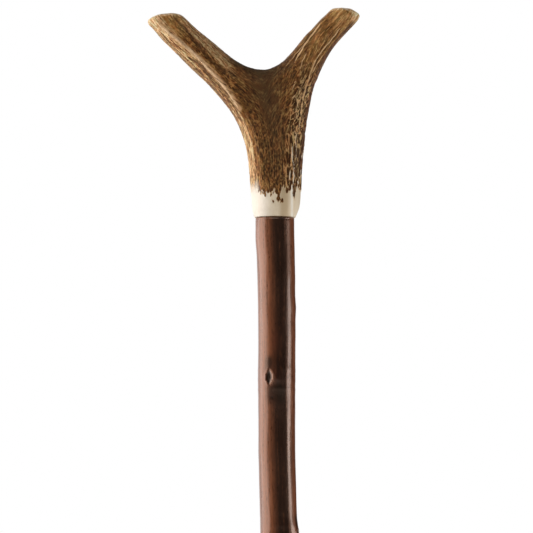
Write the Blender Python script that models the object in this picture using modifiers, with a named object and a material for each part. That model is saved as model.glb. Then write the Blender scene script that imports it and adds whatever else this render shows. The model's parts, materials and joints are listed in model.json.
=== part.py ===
"""Staghorn thumb stick, modelled at its real size in metres.

A forked red deer antler is sawn and dressed round at its base, bored, and glued over a
threaded stud to the top of a chestnut shank that keeps its bark. The shank's tip is pared
down to take a push-on rubber ferrule with a steel washer inside it.

The origin is at the centre of the ferrule's tread, on the ground. +Z is up, +X is to the
right of someone who faces the stick, and -Y is towards them.
"""
import math

import bmesh
import bpy
from mathutils import Vector

MM = 0.001
WELD_DISTANCE = 0.01 * MM
SHARP_ANGLE = math.radians(40.0)  # an edge that turns more than this is shaded sharp

# Whole stick
JOINT_HEIGHT = 1088.4 * MM        # top of the wood, where the antler sits
GLUE_GAP = 0.3 * MM               # glue line between antler and wood, and round the stud
PUSH_FIT_GAP = 0.3 * MM           # round the tip in its ferrule, and above and below the washer

# Shank
SHANK_TOP_DIAMETER = 24.2 * MM
SHANK_FOOT_DIAMETER = 20.6 * MM   # just above the ferrule
SHANK_NECK_DIAMETER = 23.5 * MM   # where the flare below the antler has run out
SHANK_FLARE_LENGTH = 60.0 * MM
SHANK_SHOULDER = 1.4 * MM         # the eased edge under the antler
SHANK_RING_SPACING = 36.0 * MM
SHANK_ROUND_SIDES = 20
TIP_DIAMETER = 19.0 * MM          # pared tip, a standard ferrule size
TIP_LENGTH = 31.0 * MM
TIP_SHOULDER = 1.2 * MM
TIP_CHAMFER = 1.0 * MM

# How far the natural stick strays from a straight line, at shares of the shank's length
SHANK_WANDER = (
    # share, to the right, to the back (mm)
    (0.00, 0.0, 0.0),
    (0.16, -0.5, 0.5),
    (0.34, -0.9, 1.4),
    (0.55, 0.6, 1.9),
    (0.74, 1.7, 0.9),
    (0.825, 1.15, 0.4),
    (0.87, 0.2, 0.2),
    (0.91, 0.15, 0.1),
    (0.945, 0.35, 0.0),
    (1.00, -0.95, 0.0),
)

# Pruned side shoots: distance below the joint (mm), bearing from the front towards the
# right (degrees), and size against the largest
KNOTS = (
    (101.0, -22.0, 0.9),
    (198.0, 75.0, 1.0),
    (288.0, -150.0, 0.7),
    (385.0, -62.0, 0.8),
    (477.0, 38.0, 0.6),
    (571.0, 162.0, 0.9),
    (660.0, -96.0, 0.6),
    (757.0, 6.0, 0.8),
    (846.0, 118.0, 0.7),
    (938.0, -35.0, 0.6),
)
KNOT_SWELLING = 1.0 * MM
KNOT_HALF_HEIGHT = 10.0 * MM
KNOT_HALF_ANGLE = math.radians(34.0)
KNOT_SCAR_DEPTH = 0.7 * MM
KNOT_SCAR_HALF_HEIGHT = 3.5 * MM
KNOT_SCAR_HALF_ANGLE = math.radians(13.0)
KNOT_RINGS = (-1.4, -0.6, 0.0, 0.6, 1.4)    # in half heights from the knot's middle

# Stud that joins antler and wood
STUD_DIAMETER = 8.0 * MM
STUD_IN_ANTLER = 40.0 * MM
STUD_IN_SHANK = 50.0 * MM
STUD_CHAMFER = 1.0 * MM
STUD_SIDES = 24

# Antler neck, rasped round to meet the wood: height above its base, and how much its
# radius has grown there over the rim's
NECK_OVERHANG = 0.6 * MM
NECK_DRESSING = (
    # height, growth (mm)
    (0.0, 0.0),
    (3.7, 1.4),
    (10.5, 2.5),
)
NECK_RUNOUT = 15.0 * MM           # where the neck has drawn in to the stick's own line

# Cross sections of the antler above the dressed neck, in mm from its base and from the
# stick's own line: left edge (across, up), right edge (across, up), half depth, how far
# the middle lies to the back, and fullness, where 2 is an ellipse and more is squarer
STEM_SLICES = (
    (-16.5, 26.0, 15.4, 26.0, 15.2, 0.2, 2.1),
    (-18.3, 42.0, 16.7, 42.0, 15.1, 0.4, 2.2),
    (-23.0, 57.0, 18.2, 57.0, 14.6, 0.6, 2.3),
    (-29.4, 68.3, 20.1, 68.2, 13.9, 0.7, 2.5),
    (-37.1, 77.8, 21.9, 77.6, 13.2, 0.6, 2.7),
)
LEFT_ARM_SLICES = (
    (-44.7, 85.6, -8.4, 92.0, 12.2, 0.3, 2.3),
    (-51.5, 92.0, -15.3, 93.4, 11.6, 0.0, 2.1),
    (-57.7, 98.1, -23.4, 96.9, 11.2, -0.5, 2.0),
    (-65.2, 105.5, -31.7, 102.8, 10.8, -1.2, 2.0),
    (-72.2, 112.3, -40.3, 109.9, 10.4, -2.0, 2.0),
    (-77.5, 118.6, -48.6, 117.2, 10.1, -2.8, 2.0),
    (-80.5, 122.4, -56.9, 124.5, 9.9, -3.4, 2.0),
    (-76.9, 125.2, -59.8, 126.4, 8.4, -3.5, 2.0),
)
RIGHT_ARM_SLICES = (
    (-8.4, 92.0, 24.2, 84.5, 12.3, 0.6, 2.4),
    (-2.4, 93.8, 26.8, 91.3, 11.7, 0.8, 2.2),
    (4.0, 97.6, 30.2, 98.2, 11.0, 1.2, 2.1),
    (9.6, 103.5, 34.1, 105.1, 10.4, 1.7, 2.0),
    (15.0, 110.0, 38.9, 111.2, 9.9, 2.2, 2.0),
    (20.5, 116.9, 44.8, 117.6, 9.5, 2.7, 2.0),
    (27.2, 123.3, 50.7, 124.2, 9.2, 3.1, 2.0),
    (32.6, 128.8, 51.2, 127.6, 8.5, 3.3, 2.0),
    (34.6, 130.8, 47.2, 130.4, 7.2, 3.4, 2.0),
)
SAWN_FACE = 0.62                  # flat part of a sawn tip, as a share of its last slice
SAWN_CROWN = 0.7                  # and how much it stands above that slice (mm)

# The saddle over the crotch, where the thumb lies, from its front to its middle:
# height (mm) and distance to the front (mm). The back half mirrors it.
CROTCH_ACROSS = -8.4
CROTCH_ARCH = (
    (82.9, 11.9),
    (87.8, 9.7),
    (91.0, 5.4),
    (92.0, 0.0),
)
CROTCH_TO_BACK = 0.5

# Gutters (+) and ridges (-) that run the length of the antler, in mm, by place round the
# slice: 0 is the left edge, 3 the front, 6 the right edge and 9 the back
STEM_FLUTES = {1: -0.3, 2: -0.2, 3: 1.4, 4: -0.6, 5: 0.9, 7: 0.4, 8: 1.3, 9: -0.6, 10: 1.2}
LEFT_ARM_FLUTES = {0: 0.4, 1: -0.3, 2: -0.7, 3: 1.4, 4: 0.0, 8: 1.2, 9: -0.5, 10: 0.9, 11: -0.4}
RIGHT_ARM_FLUTES = {2: 0.8, 3: -0.5, 4: 1.0, 5: -0.6, 7: 0.4, 8: -0.4, 9: 1.1, 10: -0.4}
FLUTES_START = 20.0 * MM          # above the antler's base; the dressed neck has none

SLICE_POINTS = 12
FRONT, BACK = 3, 9                # places round a slice where the arms part
FIT_ROUNDS = 14
ANTLER_SMOOTHING = 2              # subdivision levels

# Rubber ferrule and the washer in it
FERRULE_HEIGHT = 40.0 * MM
FERRULE_FLOOR = 8.0 * MM          # rubber under the washer
FERRULE_WALL = 2.7 * MM           # at the mouth
FERRULE_MOUTH_CHAMFER = 0.8 * MM  # leads the wood in
FERRULE_BEAD = 0.8 * MM
FERRULE_BEAD_HEIGHT = 4.0 * MM
FERRULE_WAIST_HEIGHT = 15.0 * MM
FERRULE_WAIST_GROWTH = 1.3 * MM
FERRULE_FLARE_STEPS = 3
FERRULE_FOOT_DIAMETER = 35.0 * MM
FERRULE_FOOT_HEIGHT = 5.5 * MM
FERRULE_ROUNDING = 1.0 * MM
TREAD_DEPTH = 1.8 * MM
TREAD_GROOVE = 1.6 * MM
TREAD_LAND = 2.8 * MM
TREAD_GROOVES = 2
FERRULE_SIDES = 36
WASHER_THICKNESS = 1.5 * MM
WASHER_HOLE = 6.0 * MM


def remove_scene_objects():
    for old in list(bpy.data.objects):
        bpy.data.objects.remove(old, do_unlink=True)


def new_collection(name):
    collection = bpy.data.collections.new(name)
    bpy.context.scene.collection.children.link(collection)
    return collection


def new_object(name, mesh, collection, parent=None):
    made = bpy.data.objects.new(name, mesh)
    collection.objects.link(made)
    made.parent = parent
    return made


def new_material(name, colour, roughness, metallic=0.0):
    material = bpy.data.materials.new(name)
    material.use_nodes = True
    shader = material.node_tree.nodes["Principled BSDF"]
    shader.inputs["Base Color"].default_value = (*colour, 1.0)
    shader.inputs["Roughness"].default_value = roughness
    shader.inputs["Metallic"].default_value = metallic
    material.diffuse_color = (*colour, 1.0)
    return material


def add_screw(made, sides):
    screw = made.modifiers.new("turned", "SCREW")
    screw.steps = sides
    screw.render_steps = sides
    screw.use_merge_vertices = True
    screw.merge_threshold = WELD_DISTANCE
    screw.use_smooth_shade = True


def turned_object(name, profile, sides, collection, parent=None):
    """Turn (radius, height) points, from the axis down the outer side to the axis."""
    mesh = bpy.data.meshes.new(name)
    points = [(radius, 0.0, height) for radius, height in profile]
    edges = [(index, index + 1) for index in range(len(points) - 1)]
    mesh.from_pydata(points, edges, [])
    made = new_object(name, mesh, collection, parent)
    add_screw(made, sides)
    return made


def cut(target, cutter):
    boolean = target.modifiers.new("bore for " + cutter.name, "BOOLEAN")
    boolean.operation = "DIFFERENCE"
    boolean.solver = "EXACT"
    boolean.object = cutter
    cutter.hide_render = True
    cutter.display_type = "WIRE"


def ease(share):
    return share * share * (3.0 - 2.0 * share)


def wander(height):
    """Where the shank's middle lies at a height, as a point."""
    share = min(max(height / JOINT_HEIGHT, 0.0), 1.0)
    for (low, x_low, y_low), (high, x_high, y_high) in zip(SHANK_WANDER, SHANK_WANDER[1:]):
        if share <= high:
            part = ease((share - low) / (high - low))
            across = x_low + (x_high - x_low) * part
            back = y_low + (y_high - y_low) * part
            return Vector((across * MM, back * MM, height))
    return Vector((x_high * MM, y_high * MM, height))


def shank_radius(height):
    """Long even taper, with a flare in the last stretch under the antler."""
    share = (height - TIP_TOP) / (JOINT_HEIGHT - TIP_TOP)
    taper = SHANK_FOOT_DIAMETER + (SHANK_NECK_DIAMETER - SHANK_FOOT_DIAMETER) * share
    flare = max(0.0, 1.0 - (JOINT_HEIGHT - height) / SHANK_FLARE_LENGTH)
    return 0.5 * (taper + (SHANK_TOP_DIAMETER - SHANK_NECK_DIAMETER) * ease(flare))


# Heights that the shank, the washer and the ferrule share
WASHER_BASE = FERRULE_FLOOR + PUSH_FIT_GAP
TIP_BASE = WASHER_BASE + WASHER_THICKNESS + PUSH_FIT_GAP
TIP_TOP = TIP_BASE + TIP_LENGTH
ANTLER_BASE = JOINT_HEIGHT + GLUE_GAP
BORE_RADIUS = STUD_DIAMETER / 2 + GLUE_GAP
JOINT_MIDDLE = wander(JOINT_HEIGHT)


def knots_on_shank():
    """Height, bearing and size of each knot that the shank is long enough to have."""
    for drop, bearing, size in KNOTS:
        height = JOINT_HEIGHT - drop * MM
        if height > TIP_TOP + 2 * KNOT_HALF_HEIGHT:
            yield height, math.radians(bearing), size


def shank_ring_heights():
    """Even rings up the bark, with closer ones over each knot."""
    bark_top = JOINT_HEIGHT - SHANK_SHOULDER
    count = round((bark_top - TIP_TOP) / SHANK_RING_SPACING)
    even = [TIP_TOP + (bark_top - TIP_TOP) * step / count for step in range(1, count)]
    near = [height + KNOT_HALF_HEIGHT * step
            for height, _, _ in knots_on_shank() for step in KNOT_RINGS]
    apart = [height for height in even
             if all(abs(height - other) > KNOT_HALF_HEIGHT for other in near)]
    return sorted(near + apart)


def shank_profile():
    """Height and radius of each ring from the pared tip to the eased top."""
    tip = TIP_DIAMETER / 2
    rings = [(TIP_BASE, tip - TIP_CHAMFER), (TIP_BASE + TIP_CHAMFER, tip)]
    rings.append((TIP_TOP - TIP_SHOULDER, tip))
    rings.append((TIP_TOP, shank_radius(TIP_TOP)))
    rings += [(height, shank_radius(height)) for height in shank_ring_heights()]
    for turn in (0.0, 0.5, 1.0):
        angle = turn * math.pi / 2
        height = JOINT_HEIGHT - SHANK_SHOULDER * (1.0 - math.sin(angle))
        rings.append((height, shank_radius(height) - SHANK_SHOULDER * (1.0 - math.cos(angle))))
    return rings


def raise_knots(mesh):
    """Swell the bark over each pruned shoot and sink its scar."""
    for vertex in mesh.vertices:
        middle = wander(vertex.co.z)
        outward = Vector((vertex.co.x - middle.x, vertex.co.y - middle.y, 0.0))
        bearing = math.atan2(outward.x, -outward.y)
        for height, knot_bearing, size in knots_on_shank():
            turn = (bearing - knot_bearing + math.pi) % (2 * math.pi) - math.pi
            rise = vertex.co.z - height
            swelling = math.exp(-(rise / KNOT_HALF_HEIGHT) ** 2 - (turn / KNOT_HALF_ANGLE) ** 2)
            scar = math.exp(-(rise / KNOT_SCAR_HALF_HEIGHT) ** 2
                            - (turn / KNOT_SCAR_HALF_ANGLE) ** 2)
            move = size * (KNOT_SWELLING * swelling - KNOT_SCAR_DEPTH * scar)
            vertex.co += outward.normalized() * move


def make_shank(collection, cutters, parent):
    curve = bpy.data.curves.new("shank", "CURVE")
    curve.dimensions = "3D"
    curve.bevel_depth = 1.0
    curve.bevel_resolution = SHANK_ROUND_SIDES // 2 - 2
    curve.use_fill_caps = True
    rings = shank_profile()
    spline = curve.splines.new("POLY")
    spline.points.add(len(rings) - 1)
    for point, (height, radius) in zip(spline.points, rings):
        point.co = (*wander(height), 1.0)
        point.radius = radius
    guide = new_object("shank_guide", curve, collection)
    evaluated = guide.evaluated_get(bpy.context.evaluated_depsgraph_get())
    mesh = bpy.data.meshes.new_from_object(evaluated)
    mesh.transform(guide.matrix_world)
    bpy.data.objects.remove(guide, do_unlink=True)
    welded = bmesh.new()
    welded.from_mesh(mesh)
    bmesh.ops.remove_doubles(welded, verts=welded.verts, dist=WELD_DISTANCE)
    bmesh.ops.recalc_face_normals(welded, faces=welded.faces)
    welded.to_mesh(mesh)
    welded.free()
    raise_knots(mesh)
    mesh.shade_smooth()
    mesh.set_sharp_from_angle(angle=SHARP_ANGLE)
    shank = new_object("shank", mesh, collection, parent)
    floor = JOINT_HEIGHT - STUD_IN_SHANK - GLUE_GAP
    cut(shank, bore_cutter("shank_bore", floor, JOINT_HEIGHT + BORE_RADIUS, cutters))
    shank.data.materials.append(new_material("chestnut bark", (0.055, 0.022, 0.012), 0.22))
    return shank


def bore_cutter(name, low, high, cutters):
    profile = [(0.0, high), (BORE_RADIUS, high), (BORE_RADIUS, low), (0.0, low)]
    cutter = turned_object(name, profile, STUD_SIDES, cutters)
    cutter.location = (JOINT_MIDDLE.x, JOINT_MIDDLE.y, 0.0)
    return cutter


def slice_points(section, flutes):
    """Points round one cross section, from its left edge by the front to the right."""
    left_x, left_z, right_x, right_z, half_depth, back, fullness = section
    left = Vector((left_x, back, left_z)) * MM
    right = Vector((right_x, back, right_z)) * MM
    centre = (left + right) / 2
    reach = (left - right) / 2
    points = []
    for place in range(SLICE_POINTS):
        angle = 2 * math.pi * place / SLICE_POINTS
        to_left = math.copysign(abs(math.cos(angle)) ** (2 / fullness), math.cos(angle))
        to_front = math.copysign(abs(math.sin(angle)) ** (2 / fullness), math.sin(angle))
        spoke = reach * to_left + Vector((0.0, -half_depth * MM * to_front, 0.0))
        if centre.z > FLUTES_START:
            spoke -= spoke.normalized() * flutes.get(place, 0.0) * MM
        points.append(centre + spoke)
    return points


def neck_slices():
    """Round sections of the dressed neck, centred on the wood and then on the stick."""
    rim = (SHANK_TOP_DIAMETER / 2 + NECK_OVERHANG) / MM
    for height, growth in NECK_DRESSING:
        radius = rim + growth
        middle = JOINT_MIDDLE / MM * max(0.0, 1.0 - height * MM / NECK_RUNOUT)
        yield (middle.x - radius, height, middle.x + radius, height, radius, middle.y, 2.0)


def sawn_face_points(edge):
    """The flat middle of a sawn tip, drawn in from the ring at its rounded edge."""
    middle = sum((vertex.co for vertex in edge), Vector()) / len(edge)
    crown = Vector((0.0, 0.0, SAWN_CROWN * MM))
    return [middle.lerp(vertex.co, SAWN_FACE) + crown for vertex in edge]


def crotch_points():
    """The shared line over the saddle, from the front of the web to its back."""
    front = [Vector((CROTCH_ACROSS, CROTCH_TO_BACK - out, height)) * MM
             for height, out in CROTCH_ARCH]
    back = [Vector((CROTCH_ACROSS, CROTCH_TO_BACK + out, height)) * MM
            for height, out in CROTCH_ARCH[-2::-1]]
    return front + back


def join_rings(cage, lower, upper, places=range(SLICE_POINTS)):
    for place in places:
        after = (place + 1) % SLICE_POINTS
        cage.faces.new((lower[place], lower[after], upper[after], upper[place]))


def limit_point(vertex, crease):
    """Where Catmull-Clark subdivision takes a cage vertex in the end."""
    folded = [edge for edge in vertex.link_edges if edge[crease] > 0]
    if len(folded) == 2:
        ends = [edge.other_vert(vertex).co for edge in folded]
        return (vertex.co * 4 + ends[0] + ends[1]) / 6
    count = len(vertex.link_faces)
    total = Vector((0.0, 0.0, 0.0))
    for edge in vertex.link_edges:
        total += (edge.verts[0].co + edge.verts[1].co) / 2
    for face in vertex.link_faces:
        total += face.calc_center_median()
    return vertex.co * (count - 3) / (count + 5) + total * 4 / (count * (count + 5))


def fit_cage(cage, crease):
    """Push the cage out until the smooth surface passes through its first points."""
    wanted = {vertex: vertex.co.copy() for vertex in cage.verts}
    for _ in range(FIT_ROUNDS):
        reached = {vertex: limit_point(vertex, crease) for vertex in cage.verts}
        for vertex in cage.verts:
            vertex.co += wanted[vertex] - reached[vertex]


def antler_cage():
    """Lofted cage of the fork: one stem, a saddle, and two arms that share it."""
    cage = bmesh.new()
    crease = cage.edges.layers.float.new("crease_edge")

    def ring(section, flutes):
        return [cage.verts.new(point) for point in slice_points(section, flutes)]

    stem = [ring(section, {}) for section in neck_slices()]
    stem += [ring(section, STEM_FLUTES) for section in STEM_SLICES]
    for lower, upper in zip(stem, stem[1:]):
        join_rings(cage, lower, upper)
    cage.faces.new(list(reversed(stem[0])))

    saddle = [cage.verts.new(point) for point in crotch_points()]
    outer_left = slice_points(LEFT_ARM_SLICES[0], LEFT_ARM_FLUTES)
    outer_right = slice_points(RIGHT_ARM_SLICES[0], RIGHT_ARM_FLUTES)
    left_base, right_base = [None] * SLICE_POINTS, [None] * SLICE_POINTS
    for step, vertex in enumerate(saddle):
        left_base[FRONT + step] = vertex
        right_base[(FRONT - step) % SLICE_POINTS] = vertex
    for place in range(SLICE_POINTS):
        if left_base[place] is None:
            left_base[place] = cage.verts.new(outer_left[place])
        if right_base[place] is None:
            right_base[place] = cage.verts.new(outer_right[place])
    join_rings(cage, stem[-1], left_base, [*range(BACK, SLICE_POINTS), *range(FRONT)])
    join_rings(cage, stem[-1], right_base, range(FRONT, BACK))

    for base, sections, flutes in ((left_base, LEFT_ARM_SLICES[1:], LEFT_ARM_FLUTES),
                                   (right_base, RIGHT_ARM_SLICES[1:], RIGHT_ARM_FLUTES)):
        lower = base
        for section in sections:
            upper = ring(section, flutes)
            join_rings(cage, lower, upper)
            lower = upper
        face = [cage.verts.new(point) for point in sawn_face_points(lower)]
        join_rings(cage, lower, face)
        cage.faces.new(face)

    for edge in cage.edges:
        if all(vertex in stem[0] for vertex in edge.verts):
            edge[crease] = 1.0
    fit_cage(cage, crease)
    return cage


def make_antler(collection, cutters, parent):
    cage = antler_cage()
    mesh = bpy.data.meshes.new("antler_fork")
    cage.to_mesh(mesh)
    cage.free()
    mesh.shade_smooth()
    antler = new_object("antler_fork", mesh, collection, parent)
    antler.location = (0.0, 0.0, ANTLER_BASE)
    smooth = antler.modifiers.new("smooth", "SUBSURF")
    smooth.levels = ANTLER_SMOOTHING
    smooth.render_levels = ANTLER_SMOOTHING
    low = ANTLER_BASE - BORE_RADIUS
    high = ANTLER_BASE + STUD_IN_ANTLER + GLUE_GAP
    cut(antler, bore_cutter("antler_bore", low, high, cutters))
    antler.data.materials.append(new_material("antler", (0.16, 0.085, 0.045), 0.5))
    return antler


def make_stud(collection, parent):
    low = JOINT_HEIGHT - STUD_IN_SHANK
    high = ANTLER_BASE + STUD_IN_ANTLER
    radius = STUD_DIAMETER / 2
    profile = [(0.0, high), (radius - STUD_CHAMFER, high), (radius, high - STUD_CHAMFER),
               (radius, low + STUD_CHAMFER), (radius - STUD_CHAMFER, low), (0.0, low)]
    stud = turned_object("joint_stud", profile, STUD_SIDES, collection, parent)
    stud.location = (JOINT_MIDDLE.x, JOINT_MIDDLE.y, 0.0)
    stud.data.materials.append(new_material("zinc plated steel", (0.55, 0.56, 0.58), 0.35, 1.0))
    return stud


def ferrule_profile():
    """Half section of the ferrule: socket, mouth bead, flared foot, then the tread."""
    socket = TIP_DIAMETER / 2 + PUSH_FIT_GAP
    foot = FERRULE_FOOT_DIAMETER / 2
    mouth = socket + FERRULE_WALL
    waist = mouth + FERRULE_WAIST_GROWTH
    profile = [
        (0.0, FERRULE_FLOOR),
        (socket, FERRULE_FLOOR),
        (socket, FERRULE_HEIGHT - FERRULE_MOUTH_CHAMFER),
        (socket + FERRULE_MOUTH_CHAMFER, FERRULE_HEIGHT),
        (mouth, FERRULE_HEIGHT),
        (mouth + FERRULE_BEAD, FERRULE_HEIGHT - FERRULE_BEAD),
        (mouth + FERRULE_BEAD, FERRULE_HEIGHT - FERRULE_BEAD_HEIGHT + FERRULE_BEAD),
        (mouth, FERRULE_HEIGHT - FERRULE_BEAD_HEIGHT),
        (waist, FERRULE_WAIST_HEIGHT),
    ]
    for step in range(1, FERRULE_FLARE_STEPS + 1):
        share = step / FERRULE_FLARE_STEPS
        drop = (FERRULE_WAIST_HEIGHT - FERRULE_FOOT_HEIGHT) * share
        profile.append((waist + (foot - waist) * share ** 2, FERRULE_WAIST_HEIGHT - drop))
    profile += [(foot, FERRULE_ROUNDING), (foot - FERRULE_ROUNDING, 0.0)]
    edge = foot - FERRULE_ROUNDING
    for _ in range(TREAD_GROOVES):
        edge -= TREAD_LAND
        profile += [(edge, 0.0), (edge, TREAD_DEPTH)]
        edge -= TREAD_GROOVE
        profile += [(edge, TREAD_DEPTH), (edge, 0.0)]
    profile.append((0.0, 0.0))
    return profile


def make_ferrule(collection, parent):
    ferrule = turned_object("rubber_ferrule", ferrule_profile(), FERRULE_SIDES,
                            collection, parent)
    ferrule.data.materials.append(new_material("black rubber", (0.018, 0.018, 0.019), 0.7))
    return ferrule


def make_washer(collection, parent):
    outer = TIP_DIAMETER / 2
    hole = WASHER_HOLE / 2
    profile = [(hole, 0.0), (hole, WASHER_THICKNESS), (outer, WASHER_THICKNESS),
               (outer, 0.0), (hole, 0.0)]
    washer = turned_object("ferrule_washer", profile, FERRULE_SIDES, collection, parent)
    washer.location = (0.0, 0.0, WASHER_BASE)
    washer.data.materials.append(new_material("bright steel", (0.5, 0.5, 0.51), 0.4, 1.0))
    return washer


def main():
    remove_scene_objects()
    collection = new_collection("staghorn_thumb_stick")
    cutters = new_collection("cutters")
    ground = new_object("ground_point", None, collection)
    make_antler(collection, cutters, ground)
    make_stud(collection, ground)
    make_shank(collection, cutters, ground)
    make_ferrule(collection, ground)
    make_washer(collection, ground)
    bpy.context.view_layer.update()


main()
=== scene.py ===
# %% [markdown]
# # A staghorn thumb stick
# A thumb stick is a tall walking stick with a fork on top. The thumb lies in the fork and
# the fingers close round the antler below it. This notebook dresses a construction model
# of the stick: that model holds the real sizes, and each cell here turns one of its plain
# solids into the finished piece, or gives it its surface. Everything is in metres.

# %% Load the construction model
import json
import math

import bpy
import numpy as np
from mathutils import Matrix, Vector, noise


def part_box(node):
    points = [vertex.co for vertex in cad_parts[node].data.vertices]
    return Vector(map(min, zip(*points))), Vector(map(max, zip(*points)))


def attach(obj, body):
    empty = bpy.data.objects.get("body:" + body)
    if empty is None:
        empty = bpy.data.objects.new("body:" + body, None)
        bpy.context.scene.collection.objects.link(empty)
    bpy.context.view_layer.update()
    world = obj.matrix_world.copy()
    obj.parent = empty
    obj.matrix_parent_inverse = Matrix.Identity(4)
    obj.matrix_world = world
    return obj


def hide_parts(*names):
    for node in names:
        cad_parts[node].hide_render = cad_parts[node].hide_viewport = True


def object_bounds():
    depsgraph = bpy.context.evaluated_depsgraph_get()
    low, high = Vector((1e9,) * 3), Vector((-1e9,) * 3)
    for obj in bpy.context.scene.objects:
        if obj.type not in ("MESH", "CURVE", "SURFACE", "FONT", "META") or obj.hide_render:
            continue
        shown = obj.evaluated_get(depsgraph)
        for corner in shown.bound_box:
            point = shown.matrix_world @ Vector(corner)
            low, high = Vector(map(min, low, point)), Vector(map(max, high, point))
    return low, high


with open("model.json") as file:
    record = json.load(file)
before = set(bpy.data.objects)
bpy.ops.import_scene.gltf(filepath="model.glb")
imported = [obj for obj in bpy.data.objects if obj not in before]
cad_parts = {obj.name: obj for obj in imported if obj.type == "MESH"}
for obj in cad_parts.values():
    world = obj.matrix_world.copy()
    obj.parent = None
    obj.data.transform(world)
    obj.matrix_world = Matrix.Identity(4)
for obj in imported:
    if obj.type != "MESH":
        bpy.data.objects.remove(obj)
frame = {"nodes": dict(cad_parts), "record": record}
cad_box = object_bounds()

MM = 0.001
nodes = frame["nodes"]
print("solids:", ", ".join(sorted(nodes)))

# %% [markdown]
# ## Picking and finishing a piece
# Blender's operators act on whatever is selected, so each step starts with nothing
# selected and then picks its one piece. A finished piece ends at the origin with its place
# in its mesh, rides on the stick's one body, and hides the solid it stands for.

# %% Helpers for picking and finishing
def pick(piece):
    if bpy.context.mode != "OBJECT":
        bpy.ops.object.mode_set(mode="OBJECT")
    bpy.ops.object.select_all(action="DESELECT")
    piece.select_set(True)
    bpy.context.view_layer.objects.active = piece


def edit(action="SELECT"):
    """Open the picked piece's mesh with all of it selected, or with DESELECT nothing."""
    bpy.ops.object.mode_set(mode="EDIT")
    bpy.ops.mesh.select_all(action=action)


def finish_piece(piece, name, slot, *solids, smooth_below=30):
    """Shade smooth, but for edges sharper than smooth_below degrees; name the piece, put it on the
    body and hide its solids.
    """
    pick(piece)
    bpy.ops.object.shade_smooth_by_angle(angle=math.radians(smooth_below))
    bpy.ops.object.transform_apply(location=True, rotation=True, scale=True)
    piece.name = name
    piece.data.name = name
    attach(piece, "root")
    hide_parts(*solids)
    print(name, "has", sum(len(face.vertices) - 2 for face in piece.data.polygons), "triangles")


# %% [markdown]
# ## Materials as sums
# A material is a small net of nodes. Written as Python sums it stays readable: one class
# wraps a node's output, and adding or multiplying two of them adds the Math node. Vectors
# and colours go through their own nodes, because a Math node would turn them grey.

# %% The two classes that build materials
class Value:
    """One output of a node, which takes part in sums."""

    def __init__(self, paint, socket):
        self.paint = paint
        self.socket = socket

    def sum(self, operation, first, second):
        if self.socket.type in ("VECTOR", "RGBA"):
            return self.paint.node("VectorMath", {"operation": operation}, {0: first, 1: second})
        return self.paint.node("Math", {"operation": operation}, {0: first, 1: second})

    def __add__(self, other):
        return self.sum("ADD", self, other)

    def __radd__(self, other):
        return self.sum("ADD", other, self)

    def __sub__(self, other):
        return self.sum("SUBTRACT", self, other)

    def __rsub__(self, other):
        return self.sum("SUBTRACT", other, self)

    def __mul__(self, other):
        return self.sum("MULTIPLY", self, other)

    def ramp(self, low, high):
        """0 below low, 1 above high, and smooth between; low may be the larger."""
        if low > high:
            return 1 - self.ramp(high, low)
        return self.paint.node("MapRange", {"interpolation_type": "SMOOTHSTEP"},
                               {"Value": self, "From Min": low, "From Max": high})


class Paint:
    """The nodes of one material, or of the world."""

    def __init__(self, owner):
        self.owner = owner
        owner.use_nodes = True
        self.tree = owner.node_tree
        is_world = isinstance(owner, bpy.types.World)
        self.shader = self.tree.nodes["Background" if is_world else "Principled BSDF"]

    def node(self, kind, settings=(), inputs=(), output=0):
        made = self.tree.nodes.new("ShaderNode" + kind)
        for name, setting in dict(settings).items():
            setattr(made, name, setting)
        for name, value in dict(inputs).items():
            self.join(value, made.inputs[name])
        return Value(self, made.outputs[output])

    def join(self, value, socket):
        if isinstance(value, Value):
            self.tree.links.new(value.socket, socket)
        else:
            socket.default_value = value

    def place(self):
        return self.node("TexCoord", output="Object")

    def attribute(self, name, output="Fac"):
        return self.node("Attribute", {"attribute_name": name}, output=output)

    def noise(self, place, detail=2.0):
        """Cloudy noise from 0 to 1 with bumps about one unit wide."""
        return self.node("TexNoise", {}, {"Vector": place, "Scale": 1.0, "Detail": detail,
                                          "Roughness": 0.5})

    def net(self, place):
        """1 on the walls between cells about one unit wide, and 0 inside; the walls wander."""
        drift = self.node("TexNoise", {"noise_dimensions": "2D"},
                          {"Vector": place, "Scale": 0.7, "Detail": 1.0}, output="Color")
        bent = place + (drift - (0.5, 0.5, 0.5)) * (1.2, 1.2, 1.2)
        gap = self.node("TexVoronoi", {"feature": "DISTANCE_TO_EDGE", "voronoi_dimensions": "2D"},
                        {"Vector": bent, "Scale": 1.0})
        return gap.ramp(0.18, 0.03)

    def mix(self, share, first, second, blend="MIX"):
        return self.node("Mix", {"data_type": "RGBA", "blend_type": blend},
                         {0: share, 6: first, 7: second}, output=2)

    def bump(self, height, distance):
        return self.node("Bump", {}, {"Height": height, "Distance": distance, "Strength": 1.0})

    def part(self, vector, axis):
        return self.node("SeparateXYZ", {}, {0: vector}, output=axis)

    def ray(self, kind):
        """1 for one kind of ray, Camera, Glossy or Transmission, and 0 for the others."""
        return self.node("LightPath", output="Is " + kind + " Ray")

    def fill(self, **inputs):
        """Join values to the shader's sockets; an underscore stands for a space."""
        for name, value in inputs.items():
            self.join(value, self.shader.inputs[name.replace("_", " ")])

    def finish(self, piece, **inputs):
        self.fill(**inputs)
        piece.data.materials.clear()
        piece.data.materials.append(self.owner)


def srgb(red, green, blue):
    """A colour as a picture editor gives it, from 0 to 255, as Blender wants it."""
    shares = (part / 255 for part in (red, green, blue))
    return (*(s / 12.92 if s <= 0.04045 else ((s + 0.055) / 1.055) ** 2.4 for s in shares), 1.0)


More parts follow.
